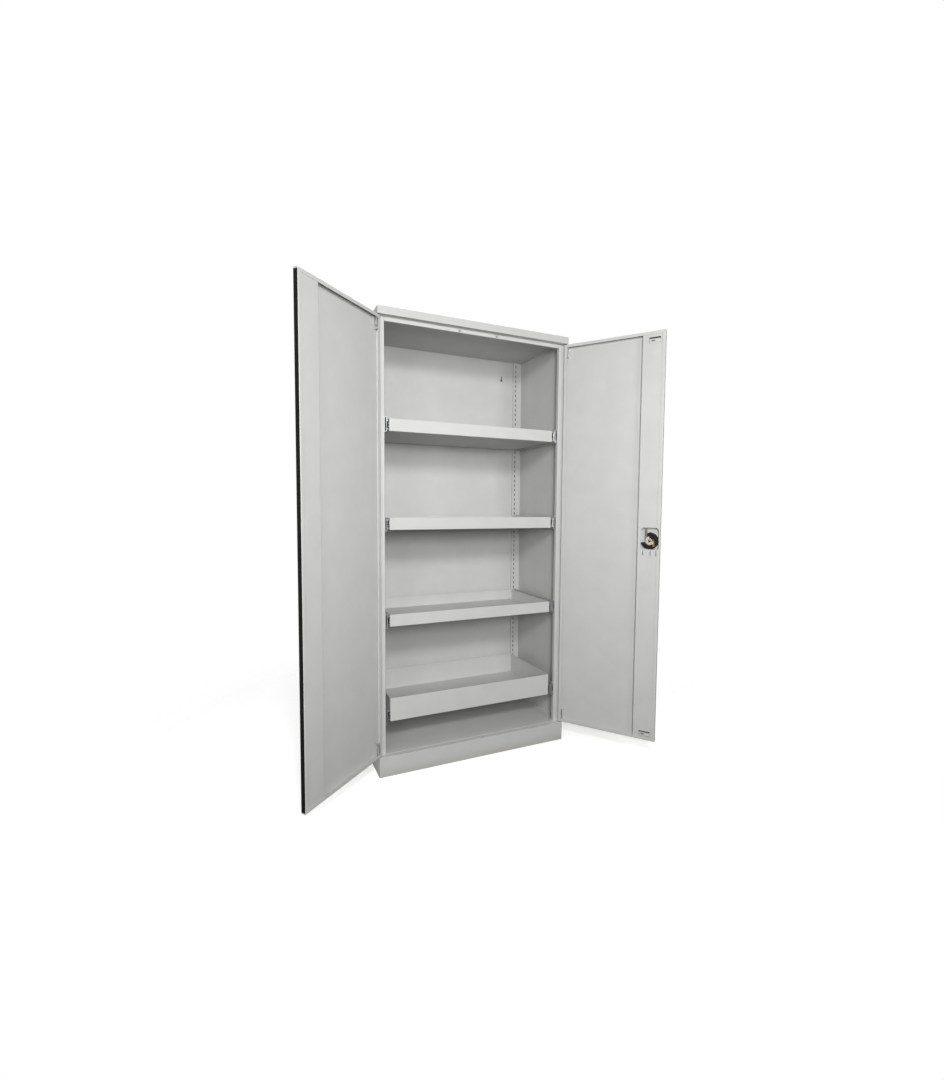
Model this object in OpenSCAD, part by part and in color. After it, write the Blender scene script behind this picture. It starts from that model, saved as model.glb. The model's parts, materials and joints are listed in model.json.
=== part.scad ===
// Two-door safety cabinet with four pull-out trays on ball-bearing runners.
// Millimetres, +Z up. The front faces -Y, and the origin is the centre of the footprint on the floor.
// The doors stand open and the trays are in.

/* [Cabinet] */
// Overall height
cab_h = 1950; // [1750:5:2100]
// Overall width
cab_w = 916; // [800:2:1200]
// Overall depth of the body
cab_d = 460; // [430:5:600]
// Thickness of the folded steel sheet
sheet_t = 1.2; // [1:0.1:1.5]
// Outside radius of a fold
fold_r = 2.4; // [2.1:0.1:3]
// Height of the fascia above the doors
fascia_h = 31; // [26:1:60]
// Height of the rail that shows under the fascia
rail_drop = 17; // [14:1:40]
// Height of the plinth
plinth_h = 86; // [60:1:120]
// Width of the plinth's folded rims
plinth_rim = 22; // [15:1:40]
// Distance from the front plane back to the jambs
jamb_setback = 27; // [26.5:0.5:40]
// Width of a jamb
jamb_w = 34; // [32:1:50]
// Depth of a jamb's inner return
jamb_return = 18; // [16:1:25]
// Width of the fold at the rear of a side panel
rear_fold = 20; // [15:1:28]
// Distance from the roof down to the inner ceiling
ceiling_drop = 15; // [10:1:25]
// Distance from the rear edge of the body to the rear wall
back_recess = 12; // [8:1:20]

/* [Wall fixing] */
// Distance between the two keyholes
keyhole_spacing = 670; // [400:10:750]
// Distance from the roof down to the keyholes' round ends
keyhole_drop = 116; // [90:1:300]
// Diameter of a keyhole's round end
keyhole_d = 12; // [8:0.5:16]
// Width of a keyhole's neck
keyhole_neck = 5; // [4:0.5:6]
// Length of a keyhole's neck
keyhole_rise = 20; // [14:1:30]

/* [Uprights and carriers] */
// Width of an upright
post_w = 28; // [24:1:29]
// Depth of an upright
post_d = 10; // [8:1:14]
// Thickness of uprights and carriers
post_t = 1.5; // [1:0.1:2]
// Slots in an upright from one tray to the next
slots_per_tray = 16; // [12:1:20]
// Width of a slot
slot_w = 5; // [4:0.5:7]
// Height of a slot
slot_h = 14; // [12:0.5:16]
// Depth of a carrier, from jamb to runner
carrier_d = 10.3; // [9:0.1:14]
// Height of a carrier
carrier_h = 60; // [52:1:80]
// Thickness of a carrier's hook
hook_t = 3; // [2:0.5:3.5]
// Diameter of a carrier's rivets
rivet_d = 5; // [4:0.5:6]

/* [Trays] */
// Distance from the front plane back to the tray fronts
tray_setback = 38; // [36:1:60]
// Free space behind the trays
tray_rear_gap = 8.8; // [6:0.2:30]
// Rise of the lowest tray above the plinth
first_tray_rise = 134.5; // [60:0.5:200]
// Distance from one tray to the next
tray_pitch = 413.5; // [300:0.5:430]
// Height of the three upper trays
tray_h = 52.5; // [48:0.5:90]
// Height of the lowest tray
sump_h = 102; // [60:1:150]
// Outside radius of a tray's upright edges
tray_r = 5; // [3:0.5:12]
// Height of the hem round a tray's rim
hem_h = 9; // [6:1:15]

/* [Runners] */
// Thickness of a closed runner
slide_t = 12.7; // [12.7:0.1:14]
// Distance from tray front to runner
slide_inset = 6; // [4:1:20]
// Distance from runner to tray rear
slide_tail = 4; // [2:1:20]
// Height of a runner's middle above the tray's underside
slide_z = 26; // [24:0.5:30]
// Wall thickness of the runner's members
slide_wall = 1.2; // [0.9:0.1:1.3]
// Radius of the balls
ball_r = 1.5; // [1.3:0.05:1.6]
// Gap between a ball and its track
ball_gap = 0.25; // [0.15:0.05:0.35]
// Height of the outer ball row above the runner's middle
outer_row = 19.3; // [19:0.1:20]
// Height of the inner ball row above the runner's middle
inner_row = 14.7; // [13.5:0.1:14.8]
// Length of a ball cage
cage_len = 160; // [100:5:190]
// Distance between balls
ball_pitch = 22; // [12:1:40]

/* [Doors] */
// Thickness of a door
door_t = 20; // [18:0.5:22]
// Gap above and below a door
door_gap = 2.5; // [2:0.1:5]
// Gap between the doors
centre_gap = 4; // [2:0.5:8]
// Width of the lip round a door's inner side
door_lip = 14; // [10:1:20]
// Width of the stile at a door's free edge
stile_w = 96; // [88:1:120]
// Distance of the hinge axis from the door's edge
pivot_inset = 6; // [5.5:0.1:6.5]
// Distance of the hinge axis from the door's outer face
pivot_depth = 13; // [12.5:0.1:13.5]
// Diameter of the hinge pins
pin_d = 6; // [5:0.1:6]
// Radial clearance of the pins in their bushes
pin_clear = 0.05; // [0.02:0.01:0.1]
// Wall of a hinge bush
bush_wall = 1.5; // [1:0.1:1.5]
// Length of a hinge bush
bush_len = 10; // [6:1:14]
// Length of a hinge bracket
bracket_len = 58; // [40:1:80]
// Thickness of the seal on the left door's free edge
seal_t = 1.5; // [1:0.1:1.8]
// Distance from the ends of that edge to the seal
seal_end = 6; // [4:1:40]
// Opening angle of the left door
left_open = 139; // [90:1:150]
// Opening angle of the right door
right_open = 126.5; // [90:0.5:150]

/* [Lock] */
// Height of the lock above the floor
lock_z = 1001; // [700:1:1200]
// Distance of the lock's axis from the door's free edge
lock_inset = 45; // [43:0.5:48]
// Radius of the round lock case
case_r = 37; // [36:0.5:37.5]
// Height of the stile's opening above the lock's axis
opening_rise = 58; // [50:1:80]
// Depth of the lock case
case_d = 13.8; // [13:0.1:14.5]
// Module of the pinion's teeth
gear_m = 1.25; // [1.2:0.05:1.3]
// Teeth of the pinion
gear_teeth = 16; // [16:2:18]
// Backlash between pinion and rack
gear_lash = 0.3; // [0.2:0.05:0.4]
// Width of a rod
rod_w = 9; // [8:0.5:10]
// Thickness of rods and pinion
rod_t = 5; // [4:0.5:6]
// Running clearance round the rods
rod_clear = 0.4; // [0.2:0.1:0.6]
// Width across the square spindle
spindle_w = 8; // [6:0.5:8]
// Length of the grip
grip_len = 92; // [80:1:110]
// Stand-off of the grip from the door
grip_h = 32; // [28:1:40]
// Diameter of the key plug
plug_d = 14; // [12:0.5:15]

/* [Hidden] */

$fn = 64;
// Overlap of a cutting tool past the face that it cuts
past = 1;
// Radial gap of a pressed-in part
press_fit = 0.02;
// Radial gap of a part that is pushed in by hand
snug_fit = 0.05;
// Radial gap of a part that passes through a hole
loose_fit = 0.2;
// Steps of a rounded corner
corner_steps = 6;

grey = [0.80, 0.82, 0.81];
zinc = [0.66, 0.70, 0.76];
steel = [0.60, 0.62, 0.64];
black = [0.08, 0.08, 0.09];
brass = [0.78, 0.68, 0.42];
rubber = [0.12, 0.12, 0.12];
pale_rubber = [0.72, 0.73, 0.71];

// Planes of the body
half_w = cab_w / 2;
front_y = -cab_d / 2;
rear_y = cab_d / 2;
jamb_y = front_y + jamb_setback;
jamb_x = half_w - jamb_w;
return_y = jamb_y + jamb_return;
wall_y = rear_y - back_recess - sheet_t;
roof_z = cab_h - sheet_t;
ceiling_z = cab_h - ceiling_drop;
fascia_z = cab_h - fascia_h;
floor_z = plinth_h + sheet_t;
keyhole_z = cab_h - keyhole_drop;
top_skirt = 20;
ceiling_flange = 10;
inner_w = 2 * (half_w - sheet_t);

// Uprights, carriers and trays
carrier_x = jamb_x - carrier_d;
tray_w = 2 * (carrier_x - slide_t);
post_x = (carrier_x + jamb_x) / 2;
post_y = wall_y - post_d;
slot_pitch = tray_pitch / slots_per_tray;
tray_front_y = front_y + tray_setback;
tray_rear_y = post_y - tray_rear_gap;
slide_front_y = tray_front_y + slide_inset;
slide_len = tray_rear_y - slide_tail - slide_front_y;
slide_rear_y = slide_front_y + slide_len;
carrier_gap = 2;
carrier_front_y = jamb_y + sheet_t + carrier_gap;
hook_play = 2;
hook_h = slot_h - 2 * hook_play;
hook_reach = 3;
lug_len = 8;
rivet_edge = 12;
rivet_rise = carrier_h / 2 - rivet_edge;
rivet_y = (carrier_front_y + return_y) / 2;
rivet_hole_d = rivet_d + 2 * snug_fit;
rivet_head_d = 1.8 * rivet_d;
rivet_tail_d = 1.6 * rivet_d;
rivet_head_t = 1.6;

function tray_z(i) = plinth_h + first_tray_rise + (4 - i) * tray_pitch;
function runner_z(i) = tray_z(i) + slide_z;
function tray_rise(i) = i == 4 ? sump_h : tray_h;

// Runner: u runs from carrier to tray, v upwards from the runner's middle
track_r = ball_r + ball_gap;
track_out = track_r + slide_wall;
outer_u = track_out;
strip_t = 0.6;
strip_gap = 0.3;
web_gap = 0.35;
back_gap = 0.5;
strip_bite = 0.1;
outer_strip_u = slide_wall + strip_gap;
mid_web_u = outer_strip_u + strip_t + web_gap;
inner_u = slide_t - slide_wall - back_gap - track_out;
inner_strip_u = inner_u - ball_r - strip_bite;
tuck_angle = 262;
outer_track = [10, 180];
mid_toe_angle = 340;
mid_track = [5, 175];
inner_toe_angle = 330;
stop_gap = 1.5;
stop_room = 3;
stop_reach = slide_t - stop_room;
ball_steps = 24;
ball_count = floor(cage_len / ball_pitch);

// Doors: u from the hinge edge, v from the outer face inwards
door_w = half_w - centre_gap / 2;
door_z0 = plinth_h + door_gap;
door_z1 = fascia_z - door_gap;
pivot_x = half_w - pivot_inset;
pivot_y = front_y + pivot_depth;
pin_r = pin_d / 2;
bore_r = pin_r + pin_clear;
bush_r = bore_r + bush_wall;
pin_reach = bush_len - 2;
stile_face = door_t - 2 * sheet_t;
stile_u = door_w - stile_w;
bracket_edge = 5;
bracket_u = [sheet_t + loose_fit, door_lip + bracket_edge];
bracket_v = [pivot_depth - pin_r - 2, pivot_depth + pin_r + 1];
bracket_t = 2.5;
bracket_top = door_z1 - sheet_t;
bracket_foot = bracket_top - bracket_len;
foot_h = 6;
foot_gap = 0.5;
boss_len = 0.7 * bracket_len;
washer_h = door_gap - 2 * snug_fit;
washer_gap = 0.3;
seal_edge = 1.5;
seal_round = 1;
mitre_gap = 0.4;
buffer_r = 5;
buffer_x = 90;
buffer_gap = 0.5;

// Lock
lock_u = door_w - lock_inset;
pitch_r = gear_m * gear_teeth / 2;
tooth_add = 0.9 * gear_m;
tooth_ded = 1.2 * gear_m;
pressure_angle = 20;
rack_root = pitch_r + tooth_ded;
rod_off = rack_root + rod_w / 2;
rod_stand = 4.8;
rod_v = sheet_t + rod_stand;
upper_rod_u = lock_u - rod_off;
lower_rod_u = lock_u + rod_off;
rack_up = 14;
rack_down = 22;
rack_tail = 3;
rack_join = 4;
rod_setback = 0.6;
case_wall = 1.5;
case_v = sheet_t + case_d;
cover_t = 1;
cover_v = case_v + cover_t;
cover_rim = 3;
opening_margin = 2;
opening_reach = case_r + opening_margin;
opening_low = [lock_u - opening_reach, lock_z - opening_reach];
opening_high = [lock_u + opening_reach, lock_z + opening_rise];
opening_round = [6, 6, 14, 14];
slit_at = [-28, 4, 28];
slit_w = 2.5;
slit_h = 24;
slit_drop = 3;
cam_r = 19;
cam_gap = 1;
cam_root_r = 9;
cam_lash = 0.3;
cam_lift = 0.6;
cam_v = [rod_v + rod_t + cam_lift, case_v - cam_lift];
window_r = cam_r + cam_gap;
hood_edge = 6;
open_drop = 8;
open_edge = [tooth_add + rod_clear - pitch_r, -open_drop];
stop_w = 4;
slot_room = 1;
slot_half = rod_w / 2 + slot_room;
slot_top = sqrt(pow(case_r - cover_rim, 2) - pow(rod_off + slot_half, 2));
hub_r = 6.5;
hub_boss = 2;
spindle_room = 0.5;
spindle_hole_r = spindle_w / sqrt(2) + spindle_room;
spindle_bite = 6;
spindle_short = 1;
guide_w = 48;
guide_h = 24;
guide_edge = 26;
guide_foot = 17;
guide_gap = 1;
guide_head = 6;
sight_u = [-16, 0];
sight_h = 4;
sight_drop = 16;
rosette_r = 27;
rosette_t = 4;
rosette_bevel = 2;
grip_gap = 0.4;
grip_near = -rosette_t - grip_gap;
grip_far = grip_near - grip_h + rosette_t;
plug_r = plug_d / 2;
plug_depth = 20;
plug_proud = 0.5;
keyway = [2, 9, 16];
keeper_w = 40;
keeper_t = 2;
keeper_gap = 3;

// Box between two opposite corners
module block(lo, hi) {
    translate(lo) cube(hi - lo);
}

// Quarter circle from angle a on
function arc(c, r, a) = [for (k = [0:corner_steps])
    let (b = a + 90 * k / corner_steps) c + r * [cos(b), sin(b)]];

// Outline of a rectangle with its own radius at each corner, from the lower left one round
function rounded(lo, hi, r) =
    let (low = [lo + [r[0], r[0]], [hi[0] - r[1], lo[1] + r[1]]],
         high = [hi - [r[2], r[2]], [lo[0] + r[3], hi[1] - r[3]]],
         c = concat(low, high))
    [for (i = [0:3]) each r[i] == 0 ? [c[i]] : arc(c[i], r[i], 180 + 90 * i)];

// Four equal radii
function all_round(r) = [r, r, r, r];

// Solid along X of an outline in Y and Z
module along_x(x0, x1) {
    translate([x0, 0, 0]) rotate([90, 0, 90]) linear_extrude(x1 - x0) children();
}

// Solid along Y of an outline in X and Z
module along_y(y0, y1) {
    translate([0, y1, 0]) rotate([90, 0, 0]) linear_extrude(y1 - y0) children();
}

// Round bar along Y
module rod_y(r, x, z, y0, y1) {
    translate([x, y0, z]) rotate([-90, 0, 0]) cylinder(r = r, h = y1 - y0);
}

// The same thing on both sides of the cabinet
module both_sides() {
    children();
    mirror([1, 0, 0]) children();
}

// Hole for a rivet through a sheet of thickness t
module rivet_hole(x, z, t) {
    translate([x - past, rivet_y, z]) rotate([0, 90, 0]) cylinder(d = rivet_hole_d, h = t + 2 * past);
}

// Cabinet body

module side_panel() {
    color(grey) difference() {
        translate([0, 0, plinth_h]) linear_extrude(roof_z - plinth_h) difference() {
            polygon(rounded([jamb_x, jamb_y], [half_w, rear_y], [fold_r, fold_r, fold_r, 0]));
            translate([jamb_x + sheet_t, jamb_y + sheet_t])
                square([jamb_w - 2 * sheet_t, rear_y - jamb_y - 2 * sheet_t]);
            translate([jamb_x - past, return_y]) square([sheet_t + 2 * past, rear_y - return_y + past]);
            translate([jamb_x - past, rear_y - sheet_t - past])
                square([jamb_w - rear_fold + past, sheet_t + 2 * past]);
        }
        for (i = [1:4], s = [-1, 1])
            rivet_hole(jamb_x, runner_z(i) + s * rivet_rise, sheet_t);
    }
}

module left_side_panel() { mirror([1, 0, 0]) side_panel(); }
module right_side_panel() { side_panel(); }

module back_panel() {
    near = wall_y - past;
    far = wall_y + sheet_t + past;
    neck_r = keyhole_neck / 2;
    neck_z = keyhole_z + keyhole_rise;
    color(grey) difference() {
        translate([0, 0, plinth_h]) linear_extrude(roof_z - plinth_h) difference() {
            translate([-inner_w / 2, wall_y]) square([inner_w, rear_y - sheet_t - wall_y]);
            translate([-inner_w / 2 + sheet_t, wall_y + sheet_t])
                square([inner_w - 2 * sheet_t, back_recess]);
        }
        for (x = [-keyhole_spacing / 2, keyhole_spacing / 2]) {
            rod_y(keyhole_d / 2, x, keyhole_z, near, far);
            rod_y(neck_r, x, neck_z, near, far);
            block([x - neck_r, near, keyhole_z], [x + neck_r, far, neck_z]);
        }
    }
}

module top_panel() {
    color(grey) union() {
        block([-half_w, front_y + sheet_t, roof_z], [half_w, rear_y, cab_h]);
        block([-half_w + rear_fold, rear_y - sheet_t, cab_h - top_skirt],
              [half_w - rear_fold, rear_y, cab_h]);
    }
}

// Sheet between the side panels that leaves room for the jambs
module inner_sheet(z) {
    block([-jamb_x, jamb_y, z], [jamb_x, return_y + past, z + sheet_t]);
    block([-inner_w / 2, return_y, z], [inner_w / 2, wall_y, z + sheet_t]);
}

module ceiling_panel() {
    edge = inner_w / 2;
    color(grey) union() {
        inner_sheet(ceiling_z);
        both_sides() block([edge - sheet_t, return_y, ceiling_z], [edge, wall_y, ceiling_z + ceiling_flange]);
    }
}

module floor_panel() {
    color(grey) union() inner_sheet(plinth_h);
}

module top_rail() {
    rail_z = fascia_z - rail_drop;
    color(grey) union() {
        block([-jamb_x, jamb_y, rail_z], [jamb_x, jamb_y + sheet_t, ceiling_z]);
        block([-jamb_x, jamb_y, rail_z], [jamb_x, return_y, rail_z + sheet_t]);
    }
}

// Opening for a rod in the fascia or the plinth, by the rod's distance from the hinge edge
module rod_slot(u, z0, z1) {
    x = half_w - u;
    reach = [rod_w / 2 + rod_clear, rod_t + rod_clear];
    block([x - reach[0], front_y + rod_v - rod_clear, z0], [x + reach[0], front_y + rod_v + reach[1], z1]);
}

// Holes for the hinge bushes in a sheet whose underside is at z
module bush_holes(z) {
    both_sides() translate([pivot_x, pivot_y, z - past])
        cylinder(r = bush_r + press_fit, h = sheet_t + 2 * past);
}

module front_fascia() {
    rear = [jamb_y + past, cab_h + past];
    color(grey) difference() {
        along_x(-half_w, half_w) polygon(rounded([front_y, fascia_z], [jamb_y, cab_h], [fold_r, 0, 0, 0]));
        block([-inner_w / 2, front_y + sheet_t, fascia_z + sheet_t], [inner_w / 2, rear[0], rear[1]]);
        block([-half_w - past, front_y + sheet_t, roof_z], [half_w + past, rear[0], rear[1]]);
        bush_holes(fascia_z);
        rod_slot(upper_rod_u, fascia_z - past, fascia_z + sheet_t + past);
    }
}

module plinth() {
    rim_x = half_w - plinth_rim;
    rim_y = rear_y - plinth_rim;
    sheet_z = plinth_h - sheet_t;
    color(grey) difference() {
        linear_extrude(plinth_h) polygon(rounded([-half_w, front_y], [half_w, rear_y], all_round(fold_r)));
        block([-inner_w / 2, front_y + sheet_t, sheet_t], [inner_w / 2, rear_y - sheet_t, sheet_z]);
        block([-rim_x, front_y + plinth_rim, -past], [rim_x, rim_y, plinth_h / 2]);
        block([-rim_x, jamb_y + past, plinth_h / 2], [rim_x, rim_y, plinth_h + past]);
        bush_holes(sheet_z);
        rod_slot(lower_rod_u, sheet_z - past, plinth_h + past);
    }
}

module rear_uprights() {
    mid_z = runner_z(4);
    low = ceil((floor_z + slot_h - mid_z) / slot_pitch - 0.5);
    high = floor((ceiling_z - slot_h - mid_z) / slot_pitch - 0.5);
    color(grey) both_sides() translate([post_x, post_y, 0]) difference() {
        block([-post_w / 2, 0, floor_z], [post_w / 2, post_d, ceiling_z]);
        block([-post_w / 2 + post_t, post_t, floor_z - past],
              [post_w / 2 - post_t, post_d + past, ceiling_z + past]);
        for (i = [low:high])
            translate([0, 0, mid_z + (i + 0.5) * slot_pitch])
                block([-slot_w / 2, -past, -slot_h / 2], [slot_w / 2, post_t + past, slot_h / 2]);
    }
}

// Channel from jamb to upright, with two hooks in the upright's slots
module carrier(z) {
    low = z - carrier_h / 2;
    high = z + carrier_h / 2;
    inner_x = carrier_x + post_t;
    end_y = post_y + past;
    hook_x = [post_x - hook_t / 2, post_x + hook_t / 2];
    difference() {
        block([carrier_x, carrier_front_y, low], [jamb_x, post_y, high]);
        block([inner_x, carrier_front_y - past, low + post_t], [jamb_x - post_t, end_y, high - post_t]);
        block([inner_x, return_y, low + post_t], [jamb_x + past, end_y, high - post_t]);
        for (s = [-1, 1])
            rivet_hole(jamb_x - post_t, z + s * rivet_rise, post_t);
    }
    for (s = [-1, 1]) {
        hook_z = z + s * slot_pitch / 2 - hook_h / 2;
        block([carrier_x, post_y - lug_len, hook_z], [hook_x[1], post_y, hook_z + hook_h]);
        block([hook_x[0], post_y - past, hook_z], [hook_x[1], post_y + post_t + hook_reach, hook_z + hook_h]);
    }
}

module runner_carriers() {
    color(zinc) for (i = [1:4]) both_sides() union() carrier(runner_z(i));
}

module carrier_rivets() {
    color(zinc) for (i = [1:4], s = [-1, 1]) both_sides()
        translate([0, rivet_y, runner_z(i) + s * rivet_rise]) rotate([0, 90, 0]) {
            translate([0, 0, jamb_x - post_t]) cylinder(d = rivet_d, h = post_t + sheet_t);
            translate([0, 0, jamb_x - post_t - rivet_head_t]) cylinder(d = rivet_head_d, h = rivet_head_t);
            translate([0, 0, jamb_x + sheet_t]) cylinder(d = rivet_tail_d, h = rivet_head_t);
        }
}

module hinge_bushes() {
    color(black) both_sides() for (z = [fascia_z, plinth_h - bush_len])
        translate([pivot_x, pivot_y, z]) difference() {
            cylinder(r = bush_r, h = bush_len);
            translate([0, 0, -past]) cylinder(r = bore_r, h = bush_len + 2 * past);
        }
}

module hinge_washers() {
    color(steel) both_sides() translate([pivot_x, pivot_y, plinth_h]) difference() {
        cylinder(r = pivot_inset - washer_gap, h = washer_h);
        translate([0, 0, -past]) cylinder(r = bore_r, h = washer_h + 2 * past);
    }
}

module door_buffers() {
    z = fascia_z - rail_drop / 2;
    color(pale_rubber) both_sides() rod_y(buffer_r, buffer_x, z, front_y + door_t + buffer_gap, jamb_y);
}

module rod_keepers() {
    depth = [front_y + sheet_t, jamb_y - keeper_gap];
    color(steel) {
        difference() {
            x = half_w - upper_rod_u;
            z = fascia_z + sheet_t;
            block([x - keeper_w / 2, depth[0], z], [x + keeper_w / 2, depth[1], z + keeper_t]);
            rod_slot(upper_rod_u, z - past, z + keeper_t + past);
        }
        difference() {
            x = half_w - lower_rod_u;
            z = plinth_h - sheet_t;
            block([x - keeper_w / 2, depth[0], z - keeper_t], [x + keeper_w / 2, depth[1], z]);
            rod_slot(lower_rod_u, z - keeper_t - past, z + past);
        }
    }
}

// Doors, drawn shut with the hinge edge at u = 0

module on_left_door() {
    translate([-pivot_x, pivot_y, 0]) rotate(-left_open)
        translate([-pivot_inset, -pivot_depth, 0]) children();
}

module on_right_door() {
    translate([pivot_x, pivot_y, 0]) rotate(right_open) mirror([1, 0, 0])
        translate([-pivot_inset, -pivot_depth, 0]) children();
}

// Top and bottom of a door: the second is the first turned over about the door's mid-height
module top_and_bottom() {
    children();
    translate([0, 0, door_z0 + door_z1]) mirror([0, 0, 1]) children();
}

module door_skin() {
    r = all_round(fold_r);
    difference() {
        intersection() {
            translate([0, 0, door_z0]) linear_extrude(door_z1 - door_z0)
                polygon(rounded([0, 0], [door_w, door_t], r));
            along_x(-past, door_w + past) polygon(rounded([0, door_z0], [door_t, door_z1], r));
        }
        block([sheet_t, sheet_t, door_z0 + sheet_t], [door_w - sheet_t, door_t - sheet_t, door_z1 - sheet_t]);
        block([door_lip, door_t / 2, door_z0 + door_lip],
              [door_w - door_lip, door_t + past, door_z1 - door_lip]);
        top_and_bottom() translate([pivot_inset, pivot_depth, door_z1 - sheet_t - past])
            cylinder(r = pin_r + loose_fit, h = sheet_t + 2 * past);
        top_and_bottom() {
            translate([0, 0, door_z1]) mitre_cut();
            translate([door_w, 0, door_z1]) mirror([1, 0, 0]) mitre_cut();
        }
    }
}

// Gap between two lips that meet in a corner, with the corner at the origin
module mitre_cut() {
    ends = [2 * fold_r, door_lip + past];
    half = mitre_gap / sqrt(2);
    along_y(door_t - sheet_t, door_t + past) polygon([
        [ends[0], -ends[0] - half], [ends[1], -ends[1] - half],
        [ends[1], -ends[1] + half], [ends[0], -ends[0] + half]]);
}

module stile() {
    low = door_z0 + sheet_t;
    high = door_z1 - sheet_t;
    block([stile_u, stile_face, low], [door_w - sheet_t, stile_face + sheet_t, high]);
    block([stile_u, sheet_t, low], [stile_u + sheet_t, stile_face + sheet_t, high]);
}

module hinge_brackets() {
    u = bracket_u[1];
    v = bracket_v[1];
    color(zinc) top_and_bottom() difference() {
        union() {
            block([bracket_u[0], bracket_v[0], bracket_top - boss_len], [u, v, bracket_top]);
            block([door_lip, v - bracket_t, bracket_foot], [u, v, bracket_top]);
            block([door_lip + foot_gap, sheet_t, bracket_foot], [u, v, bracket_foot + foot_h]);
        }
        translate([pivot_inset, pivot_depth, bracket_foot]) cylinder(r = bore_r, h = bracket_len + past);
    }
}

module hinge_pins() {
    color(steel) top_and_bottom() translate([pivot_inset, pivot_depth, bracket_top - boss_len])
        cylinder(r = pin_r, h = boss_len + sheet_t + door_gap + pin_reach);
}

module left_door_skin() { color(grey) on_left_door() door_skin(); }
module left_door_stile() { color(grey) on_left_door() union() stile(); }
module left_hinge_brackets() { on_left_door() hinge_brackets(); }
module left_hinge_pins() { on_left_door() hinge_pins(); }

module left_door_seal() {
    low = [door_w, seal_edge];
    high = [door_w + seal_t, door_t - seal_edge];
    color(rubber) on_left_door() translate([0, 0, door_z0 + seal_end])
        linear_extrude(door_z1 - door_z0 - 2 * seal_end)
            polygon(rounded(low, high, [0, seal_round, seal_round, 0]));
}

module right_door_skin() {
    color(grey) on_right_door() difference() {
        door_skin();
        lock_opening();
        rod_y(spindle_hole_r, lock_u, lock_z, -past, sheet_t + past);
        rod_channel(upper_rod_u, door_z1 - sheet_t - past, door_z1 + past);
        rod_channel(lower_rod_u, door_z0 - past, door_z0 + sheet_t + past);
    }
}

// Clear space round a rod
module rod_channel(u, z0, z1) {
    reach = rod_w / 2 + rod_clear;
    block([u - reach, rod_v - rod_clear, z0], [u + reach, rod_v + rod_t + rod_clear, z1]);
}

// Opening over the lock, through the stile and the lip
module lock_opening() {
    along_y(stile_face - past / 2, door_t + past)
        polygon(rounded(opening_low, opening_high, opening_round));
}

module right_door_stile() {
    near = stile_face - past;
    slit_z = opening_low[1] - slit_drop;
    color(grey) on_right_door() difference() {
        union() stile();
        lock_opening();
        for (u = lock_u * [1, 1, 1] + slit_at)
            block([u - slit_w / 2, near, slit_z - slit_h], [u + slit_w / 2, door_t, slit_z]);
        for (g = guides())
            block([lock_u - guide_w / 2, near, g[1]], [lock_u + guide_w / 2, door_t, g[1] + guide_h]);
    }
}

module right_hinge_brackets() { on_right_door() hinge_brackets(); }
module right_hinge_pins() { on_right_door() hinge_pins(); }

// Rod guides: their rod's distance from the hinge edge and the lower end of their opening
function guides() = [[upper_rod_u, door_z1 - guide_edge - guide_h], [lower_rod_u, door_z0 + guide_foot]];

module rod_guides() {
    half = guide_w / 2 - guide_gap;
    color(grey) on_right_door() for (g = guides()) difference() {
        block([lock_u - half, sheet_t, g[1] + guide_gap],
              [lock_u + half, stile_face, g[1] + guide_h - guide_head]);
        rod_channel(g[0], g[1] - past, g[1] + guide_h + past);
        block([lock_u + sight_u[0], rod_v + rod_t, g[1] + guide_h - sight_drop],
              [lock_u + sight_u[1], stile_face + past, g[1] + guide_h - sight_drop + sight_h]);
    }
}

// Corner of the lock that stays open for the upper rod, with the lock's axis at the origin
module open_corner() {
    translate([open_edge[0] - 2 * case_r, open_edge[1]]) square(2 * case_r);
}

module lock_case() {
    color(black) on_right_door() difference() {
        rod_y(case_r, lock_u, lock_z, sheet_t, case_v);
        rod_y(case_r - case_wall, lock_u, lock_z, sheet_t + case_wall, case_v + past);
        rod_y(spindle_hole_r, lock_u, lock_z, 0, case_v);
        translate([lock_u, 0, lock_z]) along_y(0, case_v + past) open_corner();
        rod_channel(lower_rod_u, lock_z - case_r, lock_z);
    }
}

// Ring with a hood over a quarter of the cam and a slot over the lower rod
module cover_outline() {
    difference() {
        circle(r = case_r);
        difference() {
            circle(r = window_r);
            translate([hood_edge, hood_edge]) square(window_r);
        }
        translate([rod_off - slot_half, -slot_top]) square([2 * slot_half, slot_top]);
        open_corner();
    }
}

// The cover's tooth lets the cam turn by a quarter
module lock_cover() {
    tooth_r = cam_root_r + cam_gap;
    color(black) on_right_door() translate([lock_u, 0, lock_z]) union() {
        along_y(case_v, cover_v) cover_outline();
        block([tooth_r, cam_v[0] + cam_lift, -stop_w / 2], [window_r + past, cover_v, stop_w / 2]);
    }
}

// Disc with a quarter cut away for the cover's tooth
module cam_outline() {
    side = stop_w / 2 + cam_lash;
    difference() {
        circle(r = cam_r);
        difference() {
            translate([-side, -side]) square(2 * cam_r);
            circle(r = cam_root_r);
        }
    }
}

function involute(a) = tan(a) * 180 / PI - a;

// Half the angle that a pinion tooth takes at radius r
function tooth_half(r) =
    let (base = pitch_r * cos(pressure_angle), thick = (PI * gear_m - gear_lash) / 2)
    thick / 2 / pitch_r * 180 / PI + involute(pressure_angle) - involute(r > base ? acos(base / r) : 0);

module pinion_outline() {
    root = pitch_r - tooth_ded;
    tip = pitch_r + tooth_add;
    base = pitch_r * cos(pressure_angle);
    rise = [root, base, base + (tip - base) / 3, base + (tip - base) * 2 / 3, tip];
    polygon([for (i = [0:gear_teeth - 1]) let (a = 360 * i / gear_teeth) each concat(
        [for (r = rise) r * [cos(a - tooth_half(r)), sin(a - tooth_half(r))]],
        [for (k = [4:-1:0]) rise[k] * [cos(a + tooth_half(rise[k])), sin(a + tooth_half(rise[k]))]])]);
}

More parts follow.
